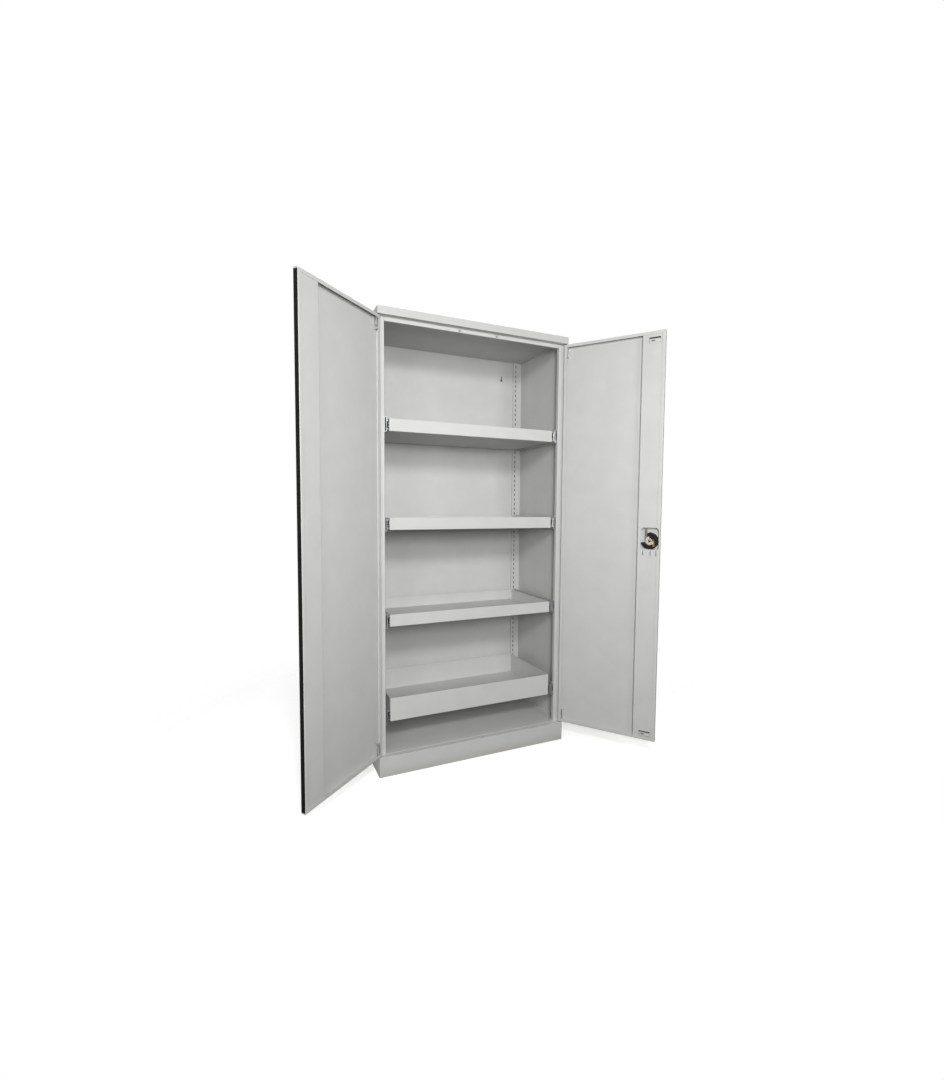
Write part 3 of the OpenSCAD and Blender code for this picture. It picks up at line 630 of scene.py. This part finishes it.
@dataclass
class Surface:
    """A grid of points, rows by columns, whose columns close on themselves and whose rows run base to top."""

    points: np.ndarray

    @staticmethod
    def lofted(outline: np.ndarray, scale: Sequence[float], height: Sequence[float]) -> "Surface":
        """An outline carried along the seat's outward axis: (s x, s y, h) for each row's s and h.

        Args:
            outline: Points of the outline, anticlockwise about the axis.
            scale: Scale of each row.
            height: Height of each row.

        Returns:
            The surface.
        """
        flat = np.asarray(scale)[:, None, None] * outline[None]
        rise = np.broadcast_to(np.asarray(height)[:, None, None], (len(height), len(outline), 1))
        return Surface(np.concatenate([flat, rise], axis=-1))

    @staticmethod
    def revolved(radius: Sequence[float], height: Sequence[float], columns: int) -> "Surface":
        """A profile turned about the seat's outward axis: (r cos t, r sin t, h) for each row's r and h."""
        turn = np.linspace(0, 2 * np.pi, columns, endpoint=False)
        return Surface.lofted(np.stack([np.cos(turn), np.sin(turn)], axis=-1), radius, height)

    @staticmethod
    def slab(outline: np.ndarray, half: Sequence[float], thickness: float, chamfer: float) -> "Surface":
        """A unit outline stretched to half sizes and raised, with a chamfer round the top.

        A row's points are (a x, b y, h), with a and b the half sizes, less the chamfer on the top row.

        Args:
            outline: Points of the unit outline, anticlockwise about the seat's outward axis.
            half: Half sizes across and up.
            thickness: Height of the top face.
            chamfer: Width and height of the chamfer round the top.

        Returns:
            The closed slab, with its flat base on the seat.
        """
        full = np.asarray(half)
        spread = np.stack([full * 0, full, full, full - chamfer, full * 0])
        rise = np.array([0, 0, thickness - chamfer, thickness, thickness])
        flat = spread[:, None] * outline[None]
        height = np.broadcast_to(rise[:, None, None], (*flat.shape[:2], 1))
        return Surface(np.concatenate([flat, height], axis=-1))

    def at(self, places: Iterable[Place]) -> np.ndarray:
        """Copies at several seats, as an array of copies by rows by columns by three."""
        return np.stack([place.put(self.points) for place in places])


def superellipse(squareness: float, columns: int = 64, taper: float = 0.0) -> np.ndarray:
    """A unit outline between an ellipse and a rectangle that may narrow towards one end.

    Args:
        squareness: Power of the curve: 2 is an ellipse, and a high one is nearly a rectangle.
        columns: Number of points.
        taper: Share by which the end narrows.

    Returns:
        Points (c, s (1 - taper c)) with c and s the signed powers 2 / squareness of cosine and sine.
    """
    turn = np.linspace(0, 2 * np.pi, columns, endpoint=False)
    along = np.sign(np.cos(turn)) * np.abs(np.cos(turn)) ** (2 / squareness)
    across = np.sign(np.sin(turn)) * np.abs(np.sin(turn)) ** (2 / squareness)
    return np.stack([along, across * (1 - taper * along)], axis=-1)


def grid_mesh(name: str, copies: np.ndarray, crease: float = 35.0) -> bpy.types.Mesh:
    """Mesh of one or more closed grids. Equal points are merged, so poles are single points.

    Args:
        name: Name of the mesh.
        copies: Points, as copies by rows by columns by three.
        crease: Angle in degrees from which an edge stays sharp.

    Returns:
        The mesh, with its faces outwards.
    """
    count, rows, columns = copies.shape[:3]
    numbers = np.arange(count * rows * columns).reshape(count, rows, columns)
    after = np.roll(numbers, -1, axis=2)
    quads = np.stack([numbers[:, :-1], after[:, :-1], after[:, 1:], numbers[:, 1:]], axis=-1).reshape(-1, 4)
    keys = np.round(copies.reshape(-1, 3) / MERGE_STEP).astype(np.int64)
    _, first, merged = np.unique(keys, axis=0, return_index=True, return_inverse=True)
    quads = merged.reshape(-1)[quads]
    base_pole = quads[:, 0] == quads[:, 1]
    top_pole = quads[:, 2] == quads[:, 3]
    whole = quads[~base_pole & ~top_pole]
    corners = np.concatenate([quads[base_pole & ~top_pole][:, [0, 2, 3]],
                              quads[top_pole & ~base_pole][:, :3]])
    mesh = bpy.data.meshes.new(name)
    mesh.from_pydata(copies.reshape(-1, 3)[first].tolist(), [], whole.tolist() + corners.tolist())
    mesh.shade_smooth()
    mesh.set_sharp_from_angle(angle=math.radians(crease))
    return mesh


@dataclass(frozen=True)
class Fastener:
    """Head of a screw or blind rivet: a shallow dome on a short rim, with its drive cut into the top."""

    radius: float
    height: float
    drive: Drive
    rim: float = 0.0004
    cut_depth: float = 0.0010
    cut_width: float = 0.0009
    cut_reach: float = 0.55
    rows: int = 22
    columns: int = 40

    def surface(self) -> Surface:
        """Height field over a disc: rim + (height - rim) (1 - s squared) less the cut, s from 1 to 0.

        Returns:
            The closed head, with its flat base on the seat.
        """
        share = np.linspace(1, 0, self.rows)
        turn = np.linspace(0, 2 * np.pi, self.columns, endpoint=False)
        reach = self.radius * share[:, None]
        x = reach * np.cos(turn)
        y = reach * np.sin(turn)
        dome = self.rim + (self.height - self.rim) * (1 - share[:, None] ** 2)
        top = np.stack([x, y, dome - self.cut(x, y)], axis=-1)
        ring = top[:1] * np.array([1.0, 1.0, 0.0])
        return Surface(np.concatenate([ring * 0, ring, top]))

    def cut(self, x: np.ndarray, y: np.ndarray) -> np.ndarray:
        """Depth of the drive at points of the head.

        Args:
            x: First coordinate.
            y: Second coordinate.

        Returns:
            The depth: a cross of two arms with sloping walls, or a round hole.
        """
        slope = self.cut_width * 0.5
        if self.drive is Drive.MANDREL:
            inside = self.cut_width - np.hypot(x, y)
        else:
            arm = np.minimum(self.cut_width / 2 - np.abs(x), self.cut_reach * self.radius - np.abs(y))
            inside = np.maximum(arm, np.minimum(self.cut_width / 2 - np.abs(y),
                                                self.cut_reach * self.radius - np.abs(x)))
        return self.cut_depth * np.clip(inside / slope + 0.5, 0, 1)


@dataclass
class Workshop:
    """Keeps the finishes, dresses the frame's nodes and adds new pieces."""

    finishes: dict[Slot, Finish]

    def dress_nodes(self) -> None:
        """Gives every node of the frame the finish of its slot in the record."""
        for row in frame["record"]["subparts"]:
            mesh = frame["nodes"][row["node"]].data
            mesh.materials.clear()
            mesh.materials.append(self.finishes[Slot(row["material_slot"])].material())
        LOG.info("dressed %d nodes", len(frame["nodes"]))

    def add(self, name: str, copies: np.ndarray, slot: Slot, body: str) -> None:
        """Adds a new piece.

        Args:
            name: The piece's name.
            copies: Its points, as grid_mesh takes them.
            slot: Its finish.
            body: The body that it rides on.
        """
        mesh = grid_mesh(name, copies)
        mesh.materials.append(self.finishes[slot].material())
        piece = bpy.data.objects.new(name, mesh)
        bpy.context.scene.collection.objects.link(piece)
        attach(piece, body)
        LOG.info("%s: %d faces on %s", name, len(mesh.polygons), body)


def joint(name: str) -> dict[str, Any]:
    """The frame's joint of that name."""
    return next(row for row in frame["joints"] if row["name"] == name)


@dataclass(frozen=True)
class DoorFrame:
    """Places on a door: u from its hinge edge, v from its outer face inwards, z above the floor."""

    side: Side

    def body(self) -> str:
        """The door's body."""
        return f"{self.side.name.lower()}_door"

    def turned(self, x: float, y: float) -> np.ndarray:
        """Turns a direction on the shut door about Z by the angle at which the door rests.

        Args:
            x: Its first coordinate.
            y: Its second coordinate.

        Returns:
            The direction on the resting door.
        """
        hinge = joint(f"{self.body()}_hinge")
        angle = math.radians(-hinge["range_deg"][0]) * hinge["axis"][2]
        cos, sin = math.cos(angle), math.sin(angle)
        return np.array([x * cos - y * sin, x * sin + y * cos, 0.0])

    def inward(self) -> np.ndarray:
        """Direction from the door's outer face to its inner face."""
        return self.turned(0.0, 1.0)

    def point(self, u: float, v: float, z: float) -> np.ndarray:
        """Finds a point of the resting door.

        Args:
            u: Distance from the hinge edge.
            v: Distance from the outer face inwards.
            z: Height above the floor.

        Returns:
            The point in the shared frame.
        """
        low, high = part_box("plinth")
        pivot = np.array(joint(f"{self.body()}_hinge")["pos_m"])
        inset = high.x - abs(pivot[0])
        depth = pivot[1] - low.y
        return pivot + self.turned(-self.side.value * (u - inset), v - depth) + np.array([0.0, 0.0, z])


@dataclass
class DoorHardware:
    """Rivets that hold a door's hinge brackets to its skin."""

    door: DoorFrame
    shop: Workshop
    rivet: Fastener = Fastener(0.0036, 0.0015, Drive.MANDREL)
    skin_v: float = 0.0012
    rivet_u: float = 0.0245
    foot_drop: float = 0.0600
    top_z: float = 1.9165
    low_z: float = 0.0885

    def build(self) -> None:
        """Adds the rivets beside the brackets' feet."""
        seats = [Place.on(self.door.point(self.rivet_u, self.skin_v, z), self.door.inward())
                 for z in (self.top_z - self.foot_drop, self.low_z + self.foot_drop)]
        name = f"{self.door.body()}_bracket_rivets"
        self.shop.add(name, self.rivet.surface().at(seats), Slot.ZINC, self.door.body())


@dataclass
class TrayHardware:
    """Rivets that hold a tray to its runners, seen inside the tray."""

    number: int
    shop: Workshop
    rivet: Fastener = Fastener(0.0042, 0.0016, Drive.MANDREL)
    wall: float = 0.0012
    runner_rise: float = 0.026
    end_inset: float = 0.062
    per_side: int = 3

    def build(self) -> None:
        """Adds three rivets on each side."""
        body = f"tray_{self.number}"
        low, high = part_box(f"{body}_pan")
        lengths = np.linspace(low.y + self.end_inset, high.y - self.end_inset, self.per_side)
        z = low.z + self.runner_rise
        seats = [Place.on((side.value * (high.x - self.wall), y, z), (-side.value, 0.0, 0.0))
                 for side in Side for y in lengths]
        self.shop.add(f"{body}_runner_rivets", self.rivet.surface().at(seats), Slot.ZINC, body)


@dataclass
class RunnerFittings:
    """Release levers on the outer face of a tray's inner runner members, and buffers on their front ends."""

    number: int
    shop: Workshop
    lever_half: tuple[float, float] = (0.018, 0.0062)
    lever_t: float = 0.0038
    lever_taper: float = 0.35
    lever_inset: float = 0.028
    buffer_half: tuple[float, float] = (0.0022, 0.0024)
    buffer_t: float = 0.0040
    buffer_out: float = 0.0024
    buffer_spread: float = 0.01235
    squareness: float = 5.0
    chamfer: float = 0.0006
    member_wall: float = 0.0012
    rise: float = 0.026

    def build(self) -> None:
        """Adds both kinds, on the two sides of the tray."""
        body = f"tray_{self.number}"
        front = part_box(f"{body}_inner_slides")[0].y
        low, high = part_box(f"{body}_pan")
        z = low.z + self.rise
        outline = superellipse(self.squareness, taper=self.lever_taper)
        lever = Surface.slab(outline, self.lever_half, self.lever_t, self.chamfer)
        seats = [Place.on((side.value * (high.x + self.member_wall), front + self.lever_inset, z),
                          (side.value, 0.0, 0.0)) for side in Side]
        self.shop.add(f"{body}_release_levers", lever.at(seats), Slot.BLACK_PLASTIC, body)
        buffer = Surface.slab(superellipse(self.squareness), self.buffer_half, self.buffer_t, self.chamfer)
        seats = [Place.on((side.value * (high.x + self.buffer_out), front, z + row * self.buffer_spread),
                          (0.0, -1.0, 0.0)) for side in Side for row in (-1, 0, 1)]
        self.shop.add(f"{body}_front_buffers", buffer.at(seats), Slot.BLACK_PLASTIC, body)


@dataclass
class LockHardware:
    """Screws of the rod lock, black plates of painted shade in the gaps of its rod guides, and the ring round its
    key plug.
    """

    shop: Workshop
    door: DoorFrame = DoorFrame(Side.RIGHT)
    cover_screw: Fastener = Fastener(0.0027, 0.0012, Drive.CROSS, cut_depth=0.0006)
    hub_screw: Fastener = Fastener(0.0034, 0.0016, Drive.CROSS)
    guide_screw: Fastener = Fastener(0.0023, 0.0010, Drive.CROSS, cut_depth=0.0006, cut_width=0.0007)
    lock_u: float = 0.411
    lock_z: float = 1.001
    cover_v: float = 0.016
    screw_r: float = 0.0285
    screw_angles: tuple[float, ...] = (60.0, 218.0, 275.0, 345.0)
    washer_r: float = 0.0065
    washer_t: float = 0.0008
    washer_columns: int = 48
    guide_v: float = 0.0176
    guide_h: float = 0.017
    guide_lift: float = 0.0035
    guide_spread: float = 0.014
    # Sizes of the black plates that stand in for the shade in the rod guides' gaps and sight slots.
    guide_shade_half: tuple[float, float] = (0.0210, 0.00285)
    slot_half: tuple[float, float] = (0.0077, 0.0018)
    slot_shift: float = -0.008
    slot_lift: float = 0.0088
    guide_shade_v: tuple[float, float] = (0.0118, 0.0170)
    guide_shade_chamfer: float = 0.0004
    guide_shade_squareness: float = 16.0
    ring_r: tuple[float, float] = (0.0072, 0.0094)
    ring_sink: float = 0.0003
    ring_rise: float = 0.0010
    ring_rows: int = 12
    ring_columns: int = 64
    grip_v: float = -0.0324

    def seat(self, u: float, v: float, z: float, outward: bool = False) -> Place:
        """Seat on a face of the right door that looks inwards, or outwards."""
        return Place.on(self.door.point(u, v, z), self.door.inward() * (-1 if outward else 1))

    def build(self) -> None:
        """Adds the screws, the washer, the painted shade plates of the rod guides and the key ring."""
        self.add_cover_screws()
        self.add_hub()
        self.add_guide_screws()
        self.add_guide_shades()
        self.add_key_ring()

    def add_cover_screws(self) -> None:
        """Adds the screws round the lock cover."""
        turn = np.radians(self.screw_angles)
        seats = [self.seat(u, self.cover_v, z) for u, z in
                 zip(self.lock_u + self.screw_r * np.cos(turn), self.lock_z + self.screw_r * np.sin(turn))]
        self.shop.add("lock_cover_screws", self.cover_screw.surface().at(seats), Slot.BLACK_PAINT,
                      self.door.body())

    def add_hub(self) -> None:
        """Adds the washer and the screw that hold the pinion on its spindle."""
        rim = self.washer_t / 4
        washer = Surface.revolved((0, self.washer_r, self.washer_r, self.washer_r - rim, 0),
                                  (0, 0, self.washer_t - rim, self.washer_t, self.washer_t),
                                  self.washer_columns)
        seat = self.seat(self.lock_u, self.cover_v, self.lock_z)
        head = self.seat(self.lock_u, self.cover_v + self.washer_t, self.lock_z)
        self.shop.add("lock_hub_washer", washer.at([seat]), Slot.STEEL, "lock_handle")
        self.shop.add("lock_hub_screw", self.hub_screw.surface().at([head]), Slot.STEEL, "lock_handle")

    def guide_feet(self) -> tuple[float, float]:
        """Heights of the two rod guides' lower ends."""
        low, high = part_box("rod_guides")
        return low.z, high.z - self.guide_h

    def add_guide_shades(self) -> None:
        """Adds black plates of painted shade: one in the gap above each rod guide and one in its sight slot."""
        near, far = self.guide_shade_v
        outline = superellipse(self.guide_shade_squareness)
        over = Surface.slab(outline, self.guide_shade_half, far - near, self.guide_shade_chamfer)
        slot = Surface.slab(outline, self.slot_half, far - near, self.guide_shade_chamfer)
        over_seats = [self.seat(self.lock_u, near, z + self.guide_h + self.guide_shade_half[1])
                      for z in self.guide_feet()]
        slot_seats = [self.seat(self.lock_u + self.slot_shift, near, z + self.slot_lift)
                      for z in self.guide_feet()]
        # Painted shade: black plates where the gaps would be dark only from shade.
        self.shop.add("rod_guide_bushes", np.concatenate([over.at(over_seats), slot.at(slot_seats)]),
                      Slot.BLACK_PLASTIC, self.door.body())

    def add_guide_screws(self) -> None:
        """Adds two screws to each rod guide."""
        seats = [self.seat(self.lock_u + side.value * self.guide_spread, self.guide_v, z + self.guide_lift)
                 for side in Side for z in self.guide_feet()]
        self.shop.add("rod_guide_screws", self.guide_screw.surface().at(seats), Slot.ZINC, self.door.body())

    def add_key_ring(self) -> None:
        """Adds the ring round the key plug: a half-round section turned about the plug's axis."""
        inner, outer = self.ring_r
        turn = np.linspace(0, np.pi, self.ring_rows)
        crown = (outer + inner) / 2 + (outer - inner) / 2 * np.cos(turn)
        radius = [inner, outer, *crown, inner]
        height = [-self.ring_sink, -self.ring_sink, *(self.ring_rise * np.sin(turn)), -self.ring_sink]
        ring = Surface.revolved(radius, height, self.ring_columns)
        seat = self.seat(self.lock_u, self.grip_v, self.lock_z, outward=True)
        self.shop.add("key_ring", ring.at([seat]), Slot.STEEL, "lock_handle")


@dataclass
class CarcassHardware:
    """Blind rivets along the rear folds, which hold the rear wall, and black plates behind its keyholes: painted
    shade seen through them.
    """

    shop: Workshop
    sheet: float = 0.0012
    # Sizes of the black plates of painted shade behind the keyholes.
    keyhole_shade_lip: float = 0.004
    keyhole_shade_t: float = 0.0022
    keyhole_shade_chamfer: float = 0.0007
    keyhole_shade_squareness: float = 3.0
    keyhole_top: float = 0.0225
    rivet: Fastener = Fastener(0.0040, 0.0014, Drive.MANDREL)
    fold: float = 0.010
    end_inset: float = 0.06
    per_side: int = 8

    def build(self) -> None:
        """Adds the two rows of rivets and the two plates of painted shade."""
        self.add_rivets()
        self.add_keyhole_shades()

    def add_keyhole_shades(self) -> None:
        """Adds a black plate of painted shade on the rear face of the wall over each keyhole, so that the keyhole
        looks dark as if shaded.
        """
        mount = next(row for row in frame["record"]["mounts"] if row["name"] == "wall_fixing")
        hole_r = mount["dims"]["hole_r_mm"] / 1000
        reach = mount["dims"]["spacing_x_mm"] / 2000
        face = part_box("back_panel")[0].y + self.sheet
        z = mount["pos_m"][2] + (self.keyhole_top - hole_r) / 2
        half = (hole_r + self.keyhole_shade_lip, (self.keyhole_top + hole_r) / 2 + self.keyhole_shade_lip)
        # Painted shade: a black plate that darkens the keyhole where only shade would be seen.
        plug = Surface.slab(superellipse(self.keyhole_shade_squareness), half, self.keyhole_shade_t, self.keyhole_shade_chamfer)
        seats = [Place.on((side.value * reach, face, z), (0.0, 1.0, 0.0)) for side in Side]
        self.shop.add("keyhole_plugs", plug.at(seats), Slot.BLACK_PLASTIC, "carcass")

    def add_rivets(self) -> None:
        """Adds a row of rivets along each rear fold."""
        low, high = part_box("right_side_panel")
        heights = np.linspace(low.z + self.end_inset, high.z - self.end_inset, self.per_side)
        seats = [Place.on((side.value * (high.x - self.fold), high.y, z), (0.0, 1.0, 0.0))
                 for side in Side for z in heights]
        self.shop.add("rear_fold_rivets", self.rivet.surface().at(seats), Slot.LIGHT_GREY, "carcass")


@dataclass(frozen=True)
class Softbox:
    """A rectangular studio light."""

    name: str
    at: Triple
    aim: Triple
    size: tuple[float, float]
    power: float

    def build(self) -> None:
        """Adds the light, hidden from the camera."""
        lamp = bpy.data.lights.new(self.name, "AREA")
        lamp.shape = "RECTANGLE"
        lamp.size, lamp.size_y = self.size
        lamp.energy = self.power
        thing = bpy.data.objects.new(self.name, lamp)
        thing.location = self.at
        thing.rotation_euler = (Vector(self.aim) - Vector(self.at)).to_track_quat("-Z", "Y").to_euler()
        thing.visible_camera = False
        bpy.context.scene.collection.objects.link(thing)


@dataclass
class Studio:
    """White background, pale floor, four soft lights from the front and a fill from the rear."""

    floor: PaleFloor = PaleFloor("pale_floor")
    floor_z: float = -0.0004
    floor_rings: int = 40
    floor_columns: int = 96
    fill_from: Triple = (0.0, 0.86, 0.51)
    fill_low: float = 0.03
    fill_high: float = 0.85
    fill_span: tuple[float, float] = (-0.1, 0.8)
    boxes: list[Softbox] = field(default_factory=lambda: [
        Softbox("key_softbox", (-1.00, -2.90, 2.30), (0.1, -0.2, 0.8), (0.4, 0.4), 45.0),
        Softbox("front_softbox", (-0.91, -3.13, 1.45), (0.1, -0.2, 0.9), (0.6, 0.6), 49.0),
        Softbox("left_softbox", (-1.90, -2.40, 1.60), (0.1, -0.2, 1.2), (0.7, 0.7), 11.0),
        Softbox("right_softbox", (0.90, -2.60, 1.80), (-0.3, -0.2, 1.1), (0.6, 0.6), 14.0),
    ])

    def build(self) -> None:
        """Adds the floor, the background and the lights."""
        rings = np.linspace(0, self.floor.faded_r, self.floor_rings)
        disc = Surface.revolved(rings[::-1], np.full(self.floor_rings, self.floor_z), self.floor_columns)
        mesh = grid_mesh("studio_floor", disc.points[None])
        mesh.materials.append(self.floor.material())
        ground = bpy.data.objects.new("studio_floor", mesh)
        bpy.context.scene.collection.objects.link(ground)
        ground.visible_diffuse = False
        ground.visible_glossy = False
        for box in self.boxes:
            box.build()
        self.light_world()
        bpy.context.scene.view_settings.view_transform = "Standard"

    def light_world(self) -> None:
        """White for the camera, and for the object a fill that is strongest from the rear."""
        world = bpy.data.worlds.new("studio_world")
        world.use_nodes = True
        bpy.context.scene.world = world
        graph = Graph(world.node_tree)
        way = graph.node("ShaderNodeTexCoord", output="Generated")
        share = graph.ease(graph.dot(way, self.fill_from), *self.fill_span)
        strength = self.fill_low + (self.fill_high - self.fill_low) * share
        fill = graph.node("ShaderNodeBackground", inputs={"Color": (*WHITE, 1.0), "Strength": strength})
        white = graph.node("ShaderNodeBackground", inputs={"Color": (*WHITE, 1.0)})
        seen = graph.node("ShaderNodeLightPath", output="Is Camera Ray")
        mixed = graph.node("ShaderNodeMixShader", inputs={0: seen, 1: fill, 2: white})
        graph.close("ShaderNodeOutputWorld", mixed)


@dataclass(frozen=True)
class PhotoCamera:
    """The camera of the photograph: its place, its turn and its picture, in metres, radians and pixels."""

    at: Triple = (-0.95940, -2.26587, 1.14898)
    yaw: float = 0.4211
    pitch: float = 0.0621
    roll: float = 0.0060
    focal: float = 504.07
    middle: tuple[float, float] = (469.92, 537.85)
    width: int = 944
    height: int = 1080
    sensor: float = 36.0

    def build(self) -> None:
        """Adds the camera: forward turned by yaw and pitch, then rolled about itself."""
        lens = bpy.data.cameras.new("photo_camera")
        lens.sensor_width = self.sensor
        lens.lens = self.focal / self.height * self.sensor
        lens.shift_x = (self.width / 2 - self.middle[0]) / self.height
        lens.shift_y = (self.middle[1] - self.height / 2) / self.height
        ahead = Vector((math.sin(self.yaw) * math.cos(self.pitch), math.cos(self.yaw) * math.cos(self.pitch),
                        -math.sin(self.pitch)))
        level = Vector((math.cos(self.yaw), -math.sin(self.yaw), 0.0))
        rise = level.cross(ahead)
        right = level * math.cos(self.roll) + rise * math.sin(self.roll)
        top = rise * math.cos(self.roll) - level * math.sin(self.roll)
        turn = Matrix((right, top, -ahead)).transposed()
        camera = bpy.data.objects.new("photo_camera", lens)
        camera.matrix_world = Matrix.Translation(self.at) @ turn.to_4x4()
        bpy.context.scene.collection.objects.link(camera)
        bpy.context.scene.camera = camera


def finishes() -> dict[Slot, Finish]:
    """Chooses the finishes.

    Returns:
        The finish of each slot.
    """
    turn = joint("lock_handle_turn")
    low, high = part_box("rear_uprights")
    # The hollow of the right upright, where shade is painted near-black.
    hollow = ((high.x - UPRIGHT_W, low.y + UPRIGHT_T, low.z), (high.x, high.y + HOLLOW_SHADE_REACH, high.z))
    return {
        Slot.LIGHT_GREY: PowderCoat("powder_coat", hollow),
        Slot.ZINC: ZincPlate("zinc_plate"),
        Slot.STEEL: DrawnSteel("drawn_steel"),
        Slot.BLACK_PAINT: BlackLacquer("black_lacquer"),
        Slot.BLACK_PLASTIC: MouldedNylon("moulded_nylon"),
        Slot.BRASS: MachinedBrass("machined_brass", tuple(turn["pos_m"]), tuple(turn["axis"])),
        Slot.RUBBER: SoftRubber("soft_rubber"),
        Slot.PALE_RUBBER: SoftRubber("grey_rubber", (0.38, 0.383, 0.372), (0.52, 0.524, 0.512)),
    }


def main() -> None:
    """Builds the looks in order."""
    logging.basicConfig(level=logging.INFO, format="%(name)s: %(message)s")
    PhotoCamera().build()
    Studio().build()
    shop = Workshop(finishes())
    shop.dress_nodes()
    CarcassHardware(shop).build()
    for side in Side:
        DoorHardware(DoorFrame(side), shop).build()
    LockHardware(shop).build()
    for number in TRAYS:
        TrayHardware(number, shop).build()
        RunnerFittings(number, shop).build()


if __name__ == "__main__":
    main()
